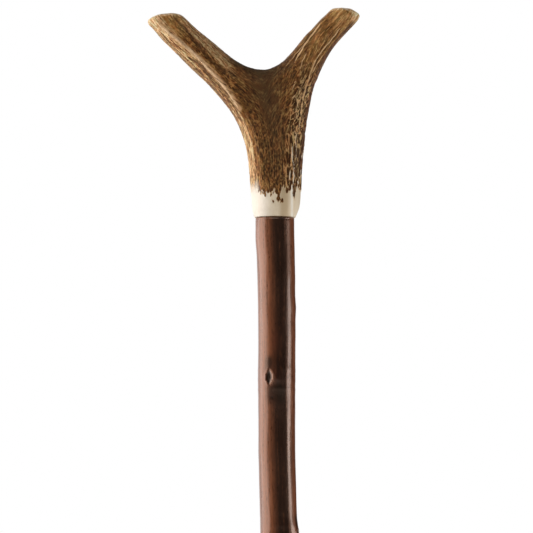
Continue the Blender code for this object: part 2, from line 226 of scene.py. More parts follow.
# %% [markdown]
# ## The camera
# The photograph was taken with a long lens from a little below the joint: the edge of the
# wood arches up where the antler sits on it. The stick stands upright in it with no sign of
# converging lines, so the camera stands well back and looks up only a little. One pixel is
# 0.624 mm on the stick, and the lens makes up for the height that the slant takes off. What
# the camera sees in front of the stick's middle plane lands a little higher on that plane,
# and the front's details are laid out there.

# %% Camera
PIXEL = 0.624 * MM
PHOTO_WIDTH = 533
STICK_COLUMN = 276.4              # the pixel column of the stick's own line
TOP_ROW = 7.0                     # and the pixel row of its highest point
CAMERA_DISTANCE = 6.0
JOINT_ELEVATION = math.radians(5.5)
VIEW_WIDTH = PHOTO_WIDTH * PIXEL

stick_top = cad_box[1].z
joint_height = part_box("shank")[1].z
middle = PHOTO_WIDTH / 2
aim = Vector(((middle - STICK_COLUMN) * PIXEL, 0.0, stick_top - (middle - TOP_ROW) * PIXEL))
eye = Vector((aim.x, -CAMERA_DISTANCE,
              joint_height - CAMERA_DISTANCE * math.tan(JOINT_ELEVATION)))
sight = aim - eye
bpy.ops.object.camera_add(location=eye, rotation=sight.to_track_quat("-Z", "Y").to_euler())
camera = bpy.context.object
slant = sight.length / CAMERA_DISTANCE
camera.data.lens = camera.data.sensor_width * sight.length * slant / VIEW_WIDTH
camera.data.clip_end = 100.0
bpy.context.scene.camera = camera
print("lens", round(camera.data.lens), "mm, eye at", round(eye.z, 2), "m")


def in_picture(places):
    """Where the camera sees places on the stick's middle plane, as (x, z)."""
    share = CAMERA_DISTANCE / (CAMERA_DISTANCE + places[:, 1])
    return np.array([eye.x, eye.z]) + (places[:, [0, 2]] - [eye.x, eye.z]) * share[:, None]


# %% [markdown]
# ## Floor, lights and background
# The highlights on the varnished shank tell where the lights stood: a wide soft light at
# the left that reaches round behind the stick, and a narrow one at the right. A third light
# above the camera fills the front without a reflection in the upright shank. The background
# is white to the camera, and to reflections of what lies behind the stick. To all else it
# is a dim, even light. The lamps don't reach the far floor, so to the camera the floor
# glows a little by itself, and more with distance.

# %% Floor, lights and world
FLOOR_SIZE = 60.0
NEAR_GLOW = 0.24                  # what the floor adds near the stick, seen directly
FAR_GLOW = 0.56
GLOW_REACH = (0.3, 4.0)           # m from the stick, between which near turns to far
MIRRORED_GLOW = 0.22              # what it adds in reflections
ROOM_LIGHT = 0.29


def soft_light(name, bearing, height, distance, size, brightness, aim_height):
    """A flat lamp; its bearing is from the camera's side towards the right, in degrees."""
    turn = math.radians(bearing)
    place = Vector((distance * math.sin(turn), -distance * math.cos(turn), height))
    bpy.ops.object.light_add(type="AREA", location=place)
    lamp = bpy.context.object
    lamp.name = name
    lamp.rotation_euler = (Vector((0, 0, aim_height)) - place).to_track_quat("-Z", "Y").to_euler()
    lamp.data.shape = "RECTANGLE"
    lamp.data.size, lamp.data.size_y = size
    lamp.data.energy = brightness * math.pi * size[0] * size[1]
    lamp.visible_camera = False


def grey(level):
    return (level, level, level, 1.0)


soft_light("left_light", -91, 1.2, 1.1, (1.3, 1.8), 2.65, 1.2)
soft_light("right_light", 84, 0.68, 1.1, (0.42, 0.96), 4.9, 0.68)
soft_light("front_light", -12, 2.6, 1.5, (1.6, 1.0), 2.0, 0.9)

bpy.ops.mesh.primitive_plane_add(size=FLOOR_SIZE, location=(0.0, 0.0, 0.0))
floor = bpy.context.object
floor.name = "floor"
floor_paint = Paint(bpy.data.materials.new("pale floor"))
grain = floor_paint.noise(floor_paint.place() * (3.0, 3.0, 3.0))
away = floor_paint.node("VectorMath", {"operation": "LENGTH"}, {0: floor_paint.place()},
                        output="Value")
seen_glow = floor_paint.mix(away.ramp(*GLOW_REACH), grey(NEAR_GLOW), grey(FAR_GLOW))
mirrored_glow = floor_paint.mix(floor_paint.ray("Glossy"), grey(0.0), grey(MIRRORED_GLOW))
glow = floor_paint.mix(floor_paint.ray("Camera"), mirrored_glow, seen_glow)
floor_colour = floor_paint.mix(grain, srgb(236, 236, 236), srgb(240, 240, 239))
floor_paint.finish(floor, Base_Color=floor_colour, Roughness=0.6, Specular_IOR_Level=0.2,
                   Emission_Strength=1.0, Emission_Color=glow)

scene = bpy.context.scene
scene.world = bpy.data.worlds.new("studio")
sky = Paint(scene.world)
mirrored = sky.ray("Glossy")
direction = sky.node("TexCoord", output="Generated")
behind = sky.part(direction, "Y").ramp(0.1, 0.8) * sky.part(direction, "X").ramp(0.5, 0.1)
shown = (sky.ray("Camera") + sky.ray("Transmission") + mirrored * behind).ramp(0.0, 1.0)
sky.fill(Color=(1.0, 1.0, 1.0, 1.0), Strength=shown + (1 - shown) * (1 - mirrored) * ROOM_LIGHT)
scene.view_settings.view_transform = "Standard"
print("three lamps, a floor and a white background")

# %% [markdown]
# ## The antler's smooth body
# The fork grew as one stem that parts in two. Its body could be drawn again from a circle
# by extruding it up the stem and along each arm, but the construction model holds that
# loft already. So its skin is copied, its loose triangles are merged and joined back to
# four-sided faces, the sawn rims are creased, and two more subdivisions make it round and
# fine enough to carve: faces half a millimetre across.

# %% Copy, join and subdivide the antler
SUBDIVISIONS = 2
RIM_ANGLE = math.radians(60)

antler_left, _, antler_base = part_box("antler_fork")[0]
antler_right, _, antler_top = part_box("antler_fork")[1]
antler = bpy.data.objects.new("antler", nodes["antler_fork"].data.copy())
scene.collection.objects.link(antler)
pick(antler)
edit()
bpy.ops.mesh.remove_doubles(threshold=0.01 * MM)
bpy.ops.mesh.tris_convert_to_quads(face_threshold=math.radians(40),
                                   shape_threshold=math.radians(60))
bpy.ops.mesh.select_all(action="DESELECT")
bpy.ops.mesh.edges_select_sharp(sharpness=RIM_ANGLE)
bpy.ops.transform.edge_crease(value=1.0)
bpy.ops.object.mode_set(mode="OBJECT")
coarse_faces = len(antler.data.polygons)
rounding = antler.modifiers.new("round", "SUBSURF")
rounding.levels = SUBDIVISIONS
rounding.render_levels = SUBDIVISIONS
pick(antler)
bpy.ops.object.modifier_apply(modifier=rounding.name)
print(coarse_faces, "faces became", len(antler.data.polygons))

# %% [markdown]
# ## Lines of growth
# Everything on an antler runs the way it grew: up the stem and along each arm. So each
# point gets two places in millimetres, one for each arm: how far it lies across the arm's
# line, how deep, and how far along. Up to the parting both lines are the same. A share
# then says which arm a point belongs to, and patterns are mixed by that share in the web.

# %% Measure the lines of growth
STEM_END = 42.0 * MM              # above the base the two lines start to part
ARMS_APART = 84.0 * MM
PARTING = 20.0 * MM               # over which the right arm's line leaves the left one's
ARM_HALF_WIDTH = 10.5 * MM
LINE_STEPS = 60
PAST_BASE = 20.0 * MM             # how far a line runs on past each end
PAST_TIP = 25.0 * MM
SMOOTHINGS = 6
WEB_BLEND = 5.0                   # mm
FRONT_BLEND = 6.0 * MM            # depth over which the front turns into the back
LEAST_FACING = 0.35               # the least width of a laid line that turns away
LINE_TAPER = 5.0                  # mm over which a laid line fades at its ends
DEPTH_STEP = 4.0                  # mm along the growth, to measure how thick an arm is


def read_rows(items, name, width, kind=float):
    """One property of all vertices or edges, as a row for each."""
    numbers = np.empty(width * len(items), kind)
    items.foreach_get(name, numbers)
    return numbers.reshape(-1, width)


def vertex_places(piece):
    return read_rows(piece.data.vertices, "co", 3)


def move_vertices(piece, places):
    piece.data.vertices.foreach_set("co", places.ravel())
    piece.data.update()


def edge_ends(piece):
    return read_rows(piece.data.edges, "vertices", 2, int)


def level_cut(places, ends, height):
    """Where a level plane crosses a mesh's edges."""
    low, high = places[ends[:, 0]], places[ends[:, 1]]
    crossed = (low[:, 2] - height) * (high[:, 2] - height) < 0
    low, high = low[crossed], high[crossed]
    share = (height - low[:, 2]) / (high[:, 2] - low[:, 2])
    return low + (high - low) * share[:, None]


def ease(share):
    share = np.clip(share, 0.0, 1.0)
    return share * share * (3.0 - 2.0 * share)


def growth_line(side, places, ends, inside=1.0):
    """Points (x, z) up one side, -1 left or 1 right: its middle, or its outer edge."""
    reach = places[side * places[:, 0] > 0]
    tip = reach[(side * reach[:, 0]).argmax(), 2]
    heights = np.linspace(antler_base + 1.0 * MM, tip - 1.0 * MM, LINE_STEPS)
    cuts = [level_cut(places, ends, height)[:, 0] for height in heights]
    outer = np.array([side * (side * cut).max() for cut in cuts])
    half = np.array([(cut.max() - cut.min()) / 2 for cut in cuts])
    parted = ease((heights - antler_base - STEM_END) / (ARMS_APART - STEM_END))
    inset = inside * (half * (1 - parted) + ARM_HALF_WIDTH * parted)
    step = np.gradient(np.stack([outer, heights], axis=1), axis=0)
    step /= np.linalg.norm(step, axis=1)[:, None]
    inward = -side * np.stack([step[:, 1], -step[:, 0]], axis=1)
    line = np.stack([outer, heights], axis=1) + inward * inset[:, None]
    for _ in range(SMOOTHINGS):
        line[1:-1] = (line[:-2] + 2 * line[1:-1] + line[2:]) / 4
    start = line[0] - PAST_BASE * np.array([0.0, 1.0])
    onward = line[-1] - line[-4]
    end = line[-1] + PAST_TIP * onward / np.linalg.norm(onward)
    return np.vstack([start, line, end])


def along_line(line, spots):
    """For many spots (x, z): how far to the right of a line they lie, and how far along."""
    start, step = line[:-1], np.diff(line, axis=0)
    length = np.linalg.norm(step, axis=1)
    before = np.cumsum(length) - length
    offset = spots[:, None] - start[None]
    share = np.clip((offset * step).sum(-1) / length ** 2, 0, 1)
    gap = np.linalg.norm(offset - share[..., None] * step, axis=-1)
    best = gap.argmin(axis=1)
    rows = np.arange(len(spots))
    turn = offset[rows, best, 0] * step[best, 1] - offset[rows, best, 1] * step[best, 0]
    return np.copysign(gap[rows, best], turn), before[best] + share[rows, best] * length[best]


def growth_place(side):
    """Place in mm across, deep and along one side's line of growth."""
    line = growth_line(side, places, edge_ends(antler))
    across, along = along_line(line, places[:, [0, 2]])
    return np.stack([across, places[:, 1], along], axis=1) / MM


def edge_distance(side):
    """How far inside one side's outer edge each place lies, in mm."""
    line = growth_line(side, places, edge_ends(antler), inside=0.0)
    return -side * along_line(line, places[:, [0, 2]])[0] / MM


places = vertex_places(antler)
normals = read_rows(antler.data.vertices, "normal", 3)
flows = {-1: growth_place(-1), 1: growth_place(1)}
from_left = edge_distance(-1)
from_right = edge_distance(1)
crotch = next(mount["pos_m"] for mount in frame["record"]["mounts"]
              if mount["name"] == "thumb_fork")
side_mm = places[:, 0] / MM
rise = (places[:, 2] - antler_base) / MM
flows[1] = flows[-1] + (flows[1] - flows[-1]) * ease((rise * MM - STEM_END) / PARTING)[:, None]
parting = crotch[0] / MM * ease((rise - 30) / 50)
to_right = ease(0.5 + (side_mm - parting) / (2 * WEB_BLEND))
front = ease(0.5 - places[:, 1] / FRONT_BLEND)
facing = np.clip(-normals[:, 1] * 1.15, LEAST_FACING, 1.0)
print("outer edges found at", from_left.min().round(1), "and", from_right.min().round(1), "mm")

# %% [markdown]
# ## Carving the skin
# A red deer's antler is covered in gutters, long ridges and small beads, because blood
# vessels lay on it while it grew. A sculptor would brush these on. Here each point moves
# along its normal by a sum of patterns stretched along the growth: ridges where a noise
# passes through zero, and pits in the cells of a Voronoi pattern. The main ridges, swells
# and gutters of the front are laid as lines of a few points, and look narrower where the
# skin turns away. The skin is also laid out flat, for the net of dark channels that the
# material draws, so that the net isn't squeezed on the sides.

# %% Patterns that run along the growth
def noise_field(flow, *size):
    """Noise from about -1 to 1 at many places, with bumps of this size each way."""
    return np.array([noise.noise(place) for place in (flow / np.array(size)).tolist()])


def cell_field(flow, *size):
    """How far many places lie from the walls between the cells of a Voronoi pattern."""
    found = []
    for place in (flow / np.array(size)).tolist():
        distances, _ = noise.voronoi(place)
        found.append(distances[1] - distances[0])
    return np.array(found)


def both_ways(pattern):
    """A pattern laid along each arm's growth and mixed where the arms part."""
    return pattern(flows[-1]) * (1 - to_right) + pattern(flows[1]) * to_right


def braided(flow):
    """Ridges that wander, part and meet round lens-shaped pits; 1 on a ridge, 0 in a pit."""
    bent = flow.copy()
    bent[:, 0] += 0.9 * noise_field(flow, 3.0, 3.0, 8.0)
    strands = 1 - ease(np.abs(noise_field(bent, 3.0, 3.0, 26.0)) / 0.15)
    walls = 1 - ease(cell_field(bent, 1.9, 1.9, 6.0) / 0.36)
    return np.maximum(strands, 0.9 * walls)


def grained(flow):
    """Fine parallel ridges, from about -1 to 1."""
    return noise_field(flow, 1.1, 1.1, 24.0) + 0.7 * noise_field(flow, 0.9, 0.9, 6.0)


# Main ridges and gutters on the front, as the camera sees them on the middle plane:
# half width, height and points (mm to the right, mm above the base)
FRONT_RIDGES = (
    # The first runs down the rasped bone, where it is painted as a highlight
    (2, 0.2, ((9.9, -6), (9.7, 4), (9.5, 12), (9.2, 22))),
    (0.45, 0.5, ((9.4, 1), (9.5, 14.9), (9.5, 21), (10.4, 26), (10.8, 31), (9.9, 36), (9.4, 40),
        (9.6, 44), (8.9, 48))),
    (0.4, 0.4, ((11.3, 33), (11.6, 38), (11.9, 43), (11.4, 48), (12, 52), (10.6, 55), (10.2, 59))),
    (0.45, 0.5, ((12.8, 53), (13.4, 57), (14.2, 61), (15, 65), (15.5, 70), (16.2, 74), (17.6, 79),
        (18.4, 83), (19.6, 87))),
    (0.45, 0.45, ((18.4, 82), (19.9, 86), (20.8, 90), (22.4, 94), (24, 98), (26, 101),
        (28.3, 104.5), (30.8, 107.5), (33.6, 111), (36.6, 114.4), (38.9, 118.2), (41.5, 121))),
    (0.4, 0.4, ((20.4, 88), (22.6, 91), (24.4, 95), (26.6, 98.5), (28.6, 101.5), (30.2, 105))),
    (0.4, 0.35, ((16.6, 30), (17.6, 38), (18, 44), (18.4, 52), (19.2, 58))),
    (0.4, 0.4, ((17.3, 49), (16.8, 45.5), (15.9, 41), (15, 36.6), (13.5, 33.5))),
    (0.4, 0.4, ((15.8, 35), (15.2, 30.8), (14.1, 25.5), (12.5, 21.4), (13.2, 17.5))),
    (0.4, 0.4, ((10.4, 32.6), (8.6, 30), (8.2, 25.4), (9.2, 20))),
    (0.6, 0.5, ((10.6, 95), (12.7, 99.4), (14.7, 102.8), (17.8, 107.9), (20.7, 112.5),
        (24.6, 117.6), (29.8, 123.5))),
    (0.45, 0.3, ((12.6, 89.5), (15, 94.2), (16.2, 98), (18, 101.8), (20.2, 106))),
    (0.4, 0.45, ((8, 75.5), (9.1, 78.8), (10.4, 81.5), (12.4, 86), (13.8, 90))),
    (0.4, 0.4, ((9, 70), (9.6, 74.5), (11.3, 76.3), (12.6, 74), (12.8, 70.5), (11.8, 66),
        (12.8, 62), (12.2, 58))),
    (0.4, 0.4, ((13.4, 66), (12.8, 70.5), (14.4, 74), (14.2, 78), (15.4, 82), (16.8, 86),
        (16.6, 91))),
    (0.35, 0.25, ((2.6, 88), (6.4, 95), (11.6, 101.6), (17.4, 108.6), (22.4, 114.6))),
    (0.35, 0.25, ((-77.1, 119.3), (-58.6, 98.9), (-45, 86.6), (-35.7, 79.2), (-29.6, 70.5))),
    (0.3, 0.25, ((-74.6, 118), (-62, 104.4), (-49.6, 92.4), (-40, 83.6), (-32.6, 74.4))),
)
FRONT_SWELLS = (
    (1.7, 0.9, ((-76, 125), (-66, 115), (-56.3, 107), (-46.6, 98.6), (-38.4, 90.3), (-30.6, 80.8),
        (-25, 72.5), (-20, 64))),
)
# The swell's crest: raised a little, and painted as a highlight
FRONT_CREST = (
    (0.7, 0.25, ((-75.4, 123.1), (-68.1, 116.9), (-59.1, 109.3), (-50.8, 102.4), (-43.2, 94),
        (-36.9, 87.1), (-30.7, 80.2), (-26.5, 73.9), (-22.5, 66.5))),
)
FRONT_GUTTERS = (
    (1, 0.7, ((-66.7, 128.7), (-62.2, 123.8), (-58, 119.5), (-53.9, 114.4), (-49.6, 109.2),
        (-46.9, 105), (-42.7, 100.4), (-38.3, 96), (-33.6, 92), (-30, 88))),
    (0.3, 0.35, ((-76, 121), (-71, 115.2), (-66.6, 110.6), (-60.6, 104.8), (-53.7, 99.4),
        (-46, 92.4), (-38.8, 85.6), (-32.6, 78.2), (-27.4, 71.2), (-23, 64.7))),
    (0.25, 0.3, ((-66.9, 107.4), (-56.3, 95.8), (-46.7, 86.4), (-38, 77.9), (-33.1, 71.8))),
    (0.5, 0.3, ((-18.2, 63), (-15.4, 56), (-13.8, 49), (-12.9, 42), (-12.5, 34))),
    (0.9, 0.4, ((9, 95), (11.4, 99.5), (14.6, 105), (18.4, 111), (22.6, 116.6), (28.2, 123.6))),
    (0.5, 0.4, ((12, 91), (15.6, 97.5), (18.2, 103), (21, 107.6))),
)


def laid_lines(lines):
    """How high the laid lines stand, the gap from them in half widths, and a shadow painted along
    their right sides.
    """
    spots = in_picture(places) / MM - (0.0, antler_base / MM)
    height = np.zeros(len(places))
    nearest = np.full(len(places), 9.0)
    shadow_side = np.zeros(len(places))
    for half_width, high, points in lines:
        points = np.array(points, float)
        across, along = along_line(points, spots)
        length = np.linalg.norm(np.diff(points, axis=0), axis=1).sum()
        taper = ease(along / LINE_TAPER) * ease((length - along) / LINE_TAPER)
        across = across + 0.35 * wobble
        profile = np.exp(-(across / (half_width * facing)) ** 2) * taper * front
        # Painted shadow: a dark band along the right side of each line, away from the left light
        beside = np.exp(-((across - 2 * half_width) / half_width) ** 2) * taper * front
        height = np.maximum(height, high * profile)
        fading = 2.0 * (1 - taper) + 6.0 * (1 - front) + 1.6 * max(0.0, 0.5 - high)
        nearest = np.minimum(nearest, np.abs(across) / (half_width * facing) + fading)
        shadow_side = np.maximum(shadow_side, beside)
    return height, nearest, shadow_side


def wrapped(flow):
    """The skin laid flat, in mm: from the front's middle line to the sides, and along."""
    across, depth, along = np.abs(flow[:, 0]), np.abs(flow[:, 1]), flow[:, 2]
    steps = np.arange(0.0, along.max() + DEPTH_STEP, DEPTH_STEP)
    thick = [depth[np.abs(along - step) < DEPTH_STEP].max(initial=0.0) for step in steps]
    turned_away = 0.6 * (np.interp(along, steps, thick) - depth) * ease(across / 8)
    slanting = along + 0.6 * np.maximum(0.0, flow[:, 1] + 6.0)
    return np.stack([flow[:, 0] + np.sign(flow[:, 0]) * turned_away, slanting, 0 * along], axis=1)


braid = both_ways(braided)
grain_lines = both_ways(grained)
wobble = both_ways(lambda flow: noise_field(flow, 1.8, 1.8, 4.0))
worn = ease(0.75 + 1.4 * both_ways(lambda flow: noise_field(flow, 2.4, 2.4, 4.5)))
# The third field is a painted shadow along the right side of each ridge
ridge_height, ridge_gap, ridge_shadow = laid_lines(FRONT_RIDGES)
gutter_depth, gutter_gap, _ = laid_lines(FRONT_GUTTERS)
swell_height, swell_gap, _ = laid_lines(FRONT_SWELLS)
crest_height, crest_gap, _ = laid_lines(FRONT_CREST)
swell_height += crest_height
ridge_gap += 0.3 * (1 - worn)
print("braid covers", round(float((braid > 0.5).mean()), 2), "of the skin")

# %% [markdown]
# ## Zones of the skin
# Handling, sun and stain don't reach everywhere alike, so each zone is a share from 0 to 1
# for every point. The outer left flank is worn pale and shows fine parallel lines; the web
# under the thumb and the middle of the stem are dark and smooth; the right flank and the
# back are the most gnarled. Below, the maker rasped the skin away down to the bone, and it
# ends there in ragged tongues.

# %% Zones, rasped band and sanded tips
# Where the skin ends above the rasped bone: mm to the right, mm above the base
RASP_LINE = ((-17, 14.5), (-13.4, 15.5), (-11.5, 18.2), (-9.6, 15.5), (-6.5, 13.7), (-4.6, 15.5),
             (-2.7, 14.3), (-1.2, 17.5), (0.4, 13.1), (1.3, 11.2), (2.2, 14), (4.1, 19.5),
             (5.4, 18), (6.3, 15.3), (7.2, 17.4), (8.9, 17), (9.3, 21.5), (9.6, 21.5),
             (10.0, 14), (10.7, 11.6), (11.6, 15.5), (12.9, 21), (14.1, 18), (17, 18))
# Drops of skin left on the bone: mm to the right, mm above the base, half width
DROPS = ((3.4, 10.7, 1.0), (-1.9, 10.3, 0.6), (1.2, 12.8, 1.0), (-6.9, 14.2, 0.9),
         (-9.6, 18.2, 0.8), (-12.6, 19.0, 0.6), (-11.0, 16.6, 0.5), (6.3, 17.0, 1.0),
         (10.7, 14.4, 0.9))
DROP_STRETCH = 1.7                # how much longer than wide a drop is
# Small swells and dips of the upper outline: mm to the right, half width, mm high
OUTLINE_TRIMS = ((-9.2, 4.2, 0.6), (-49.5, 4.6, -0.5), (-66.5, 6.5, 0.5), (22.0, 2.6, -0.5),
                 (28.5, 2.4, 0.35))
# The dark web up the middle: mm above the base, its middle, its half width, its share
WEB_LINE = ((15, -1, 6, 0.0), (26, -1, 8, 0.6), (55, -1, 9, 0.9), (75, -6, 11, 1.0),
            (95, -10, 17, 1.0), (140, -9, 26, 1.0))
SKIN_HEIGHT = 0.15                # mm that the skin stands above the rasped bone
ANTLER_BORE_X = -0.95             # mm; the stud's bore keeps its shape
ANTLER_BORE_TOP = 41.0
ANTLER_BORE_CLEAR = 6.0

web_rise, web_middle, web_width, web_share = np.array(WEB_LINE, float).T
from_web = (side_mm - np.interp(rise, web_rise, web_middle)) / np.interp(rise, web_rise, web_width)
web = np.exp(-from_web ** 2) * np.interp(rise, web_rise, web_share)
# The shade left of the stem's top, and how smooth the web is
shaded = np.exp(-((side_mm + 18) / 6) ** 2 - ((rise - 70) / 10) ** 2) * front
smooth_web = np.maximum(web, shaded) * ease((rise - 45) / 25)
# The worn left flank, the honey-coloured strip beside it and the inside of the left arm
pale_width = np.interp(rise, (20, 40, 60, 75, 90, 110, 126), (5, 4.5, 4.5, 5, 6.4, 7.6, 9))
pale_width += both_ways(lambda flow: noise_field(flow, 3, 3, 16))
pale = ease((pale_width - from_left) / 2.0)
honey = ease((from_left - pale_width + 1.0) / 1.5) * ease((pale_width + 2.8 - from_left) / 2.0)
inner = ease((from_left - 12.0) / 3.0) * ease((-side_mm - 24) / 10)
# The right arm, both arms' ends and the gnarled right flank
arm_right = ease((side_mm - 11) / 8) * ease((rise - 84) / 16)
arm_tip = ease((side_mm - 32) / 10) * ease((rise - 104) / 8)
arm_tip = np.maximum(arm_tip, 0.8 * ease((-side_mm - 54) / 8) * ease((rise - 108) / 8))
gnarl = ease((13.5 - from_right) / 6) * ease((rise - 4) / 8)
gnarl *= 1 - 0.85 * ease((rise - 74) / 26) * front
gnarl = (gnarl * front + 0.45 * (1 - front)) * (1 - 0.9 * web)
# The quieter lower stem, the net's strength, painted shade along the right edge and painted shade
# on the crotch's upward faces
quiet = ease((48 - rise) / 8) * ease((side_mm - 6) / 3) * front
netted = (0.4 + 0.6 * front) * (1 - 0.5 * quiet)
shade_edge = ease((2.4 - from_right) / 1.4) * ease((rise - 24) / 10) * front
upward = ease((normals[:, 2] - 0.1) / 0.5)
# Painted shade: the upward faces of the crotch are painted darker, and made rougher
saddle = upward * ease((24 - np.abs(side_mm + 13)) / 16) * ease((rise - 84) / 6)
# How high the natural skin stands in mm, and how that relief shows in the colour
natural = (0.75 * gnarl + 0.12) * (braid - 0.45) + (0.16 - 0.06 * gnarl) * grain_lines
natural += ridge_height - gutter_depth - 0.25 * web
natural *= 1 - 0.3 * arm_right
relief = (0.2 + 0.15 * gnarl) * (braid - 0.35) * (1 - 0.6 * arm_right)
relief += 0.25 * grain_lines * (1 - web) - 0.3 * shaded - 0.05 * quiet
relief += pale * np.interp(rise, (30, 55, 70, 100, 115), (0.1, 0.0, -0.4, -0.1, 0.1))

rasp_x, rasp_rise = np.array(RASP_LINE, float).T
seen_x, seen_rise = (in_picture(places) / MM - (0.0, antler_base / MM)).T
rasp_top = np.interp(seen_x, rasp_x, rasp_rise)
ragged = both_ways(lambda flow: noise_field(flow, 1.1, 1.1, 3.4)
                   + 0.5 * noise_field(flow, 2.2, 2.2, 9))
skin_edge = seen_rise - rasp_top + 1.3 * ragged + 2.5 * (1 - front) * ragged
for drop_x, drop_rise, drop_width in DROPS:
    from_drop = np.hypot(seen_x - drop_x, (seen_rise - drop_rise) / DROP_STRETCH) / drop_width
    skin_edge = np.maximum(skin_edge, np.where(front > 0.5, 7.0 * (1 - from_drop), -9.0))
bone = ease(0.5 - skin_edge / 0.8)
stained = ease((seen_x + 13.5) / 4)
bone_white = ease((-0.5 - seen_x) / 9)
# Painted shade: a band of bone right of the middle is painted duller and darker
bone_painted_shade = np.exp(-((seen_x - 5.0) / 3.0) ** 4) * front

arm_ends = ease((np.abs(side_mm + 12) - 38) / 4)
tip_face = ease((normals[:, 2] - 0.62) / 0.2) * arm_ends * ease((rise - 112) / 6)
sawn_height = np.zeros(len(places))
for side in (-1, 1):
    on_face = (tip_face > 0.8) & (side * side_mm > 0)
    shape = np.polyfit(side_mm[on_face], rise[on_face], 2)
    sawn_height += np.where(side * side_mm > 0, np.polyval(shape, side_mm), 0)
sawn_rim = ease((rise - sawn_height + 2.2) / 1.2) * arm_ends
tip_pale = ease((-side_mm - 64) / 12) * ease((10.0 - from_left) / 6)
tip_pale = np.maximum(tip_pale, ease((side_mm - 45) / 4) * ease((rise - 119) / 5))
tip_pale = np.maximum(tip_pale, sawn_rim)

move = (natural + SKIN_HEIGHT) * (1 - bone) + 0.6 * ridge_height * bone + swell_height
move *= 1 - tip_face
on_top = upward * ease((rise - 82) / 4)
for trim_x, trim_width, trim_height in OUTLINE_TRIMS:
    move += trim_height * np.exp(-((side_mm - trim_x) / trim_width) ** 2) * on_top
room = np.min([antler_top - places[:, 2], places[:, 0] - antler_left,
               antler_right - places[:, 0]], axis=0)
box_fade = ease(room / (1.5 * MM))
base_fade = ease((rise - 0.3) / 3.0)
from_bore = np.hypot(side_mm - ANTLER_BORE_X, places[:, 1] / MM)
bore = (rise < ANTLER_BORE_TOP) & (from_bore < ANTLER_BORE_CLEAR)
move *= np.where(bore, 0.0, base_fade) * np.where(move > 0, box_fade, 1.0)
move_vertices(antler, places + normals * (move * MM)[:, None])
print("skin moved by", round(move.min(), 2), "to", round(move.max(), 2), "mm")


def store(piece, **fields):
    """Keep numbers or vectors with the vertices, for the material to read."""
    for name, field in fields.items():
        as_vector = field.ndim == 2
        kind = "FLOAT_VECTOR" if as_vector else "FLOAT"
        attribute = piece.data.attributes.new(name, kind, "POINT")
        attribute.data.foreach_set("vector" if as_vector else "value",
                                   field.astype(np.float32).ravel())


skin_fields = {
    "to_right": to_right, "relief": relief, "ridge_gap": ridge_gap, "gutter_gap": gutter_gap,
    "swell_gap": swell_gap, "crest_gap": crest_gap, "ridge_shadow": ridge_shadow, "skin_edge": skin_edge,
    "web": web, "smooth_web": smooth_web, "pale": pale, "honey": honey, "gnarl": gnarl,
    "inner": inner, "arm_right": arm_right, "arm_tip": arm_tip, "shade_edge": shade_edge,
    "saddle": saddle, "netted": netted, "stained": stained, "tip_face": tip_face,
    "tip_pale": tip_pale, "bone_white": bone_white, "bone_painted_shade": bone_painted_shade}
store(antler, left_flow=flows[-1], right_flow=flows[1], left_wrap=wrapped(flows[-1]),
      right_wrap=wrapped(flows[1]), **skin_fields)

# %% [markdown]
# ## The antler's colours
# Each zone has three tones: in its pits, on its even skin and on its ridges. The carved
# relief, a net of dark channels, short flecks and long streaks choose between them, more
# strongly in some zones than in others. Then come the laid lines: ridges are paler, where
# rubbing took the stain off, and gutters darker. The swell on the left arm is paler where
# rubbed and is painted lighter still as a highlight, most of all along its crest, and a
# painted shadow runs down the right side of each ridge on the front. The rasped bone has a
# fine grain. It is white at the left and cream at the right, with painted shade in between
# and a painted highlight on its ridge. A little wax gives the skin a dull shine.

# %% Antler material
skin = Paint(bpy.data.materials.new("antler"))
field = {name: skin.attribute(name) for name in skin_fields}
flow_ways = skin.attribute("left_flow", "Vector"), skin.attribute("right_flow", "Vector")
wrap_ways = skin.attribute("left_wrap", "Vector"), skin.attribute("right_wrap", "Vector")


def along_growth(pattern, size, *options, ways=flow_ways):
    """A pattern from 0 to 1 stretched along the growth; its bumps measure this many mm."""
    stretch = tuple(1 / part for part in size)
    left, right = (pattern(way * stretch, *options) for way in ways)
    return left + (right - left) * field["to_right"]


def weight(always, **zones):
    """How strongly a pattern shows: a number, and what each zone adds to it."""
    return sum((field[zone] * change for zone, change in zones.items()), always)


wear = along_growth(skin.noise, (2.2, 2.2, 5.0), 1.0)
net = along_growth(skin.net, (2.0, 6.5, 1.0), ways=wrap_ways) * wear.ramp(0.25, 0.6)
net = net * field["netted"]
flecks = along_growth(skin.noise, (0.8, 0.8, 1.9), 2.0) - 0.5
streaks = along_growth(skin.noise, (0.8, 0.8, 9.0), 2.0) - 0.5
bands = along_growth(skin.noise, (1.5, 1.5, 18.0), 1.0) - 0.5
clouds = along_growth(skin.noise, (4.0, 4.0, 11.0), 2.0)
blobs = along_growth(skin.noise, (1.3, 1.3, 2.8), 1.0) - 0.5
hues = along_growth(skin.noise, (1.8, 1.8, 4.5), 2.0)
# Two more zones: evenly coloured skin, and the lowest skin above the bone
field["even"] = field["arm_right"] + field["inner"] * 0.5
field["low"] = field["skin_edge"].ramp(24.0, 6.0)
tone = field["relief"] + (hues - 0.5) * field["smooth_web"] * 1.4
tone = tone + (net - 0.25) * weight(0.65, gnarl=0.4, smooth_web=-0.4, even=-0.45, pale=-0.5)
tone = tone + flecks * weight(2.3, smooth_web=-1.4, even=-0.8, pale=-0.7, gnarl=-0.9,
                              honey=-0.6, low=1.8)
tone = tone + streaks * weight(1.9, smooth_web=-1.1, pale=1.6, gnarl=1.3)
tone = tone + bands * weight(0.0, even=1.4, pale=1.8)
field["honey"] = field["honey"] * clouds.ramp(0.3, 0.6)

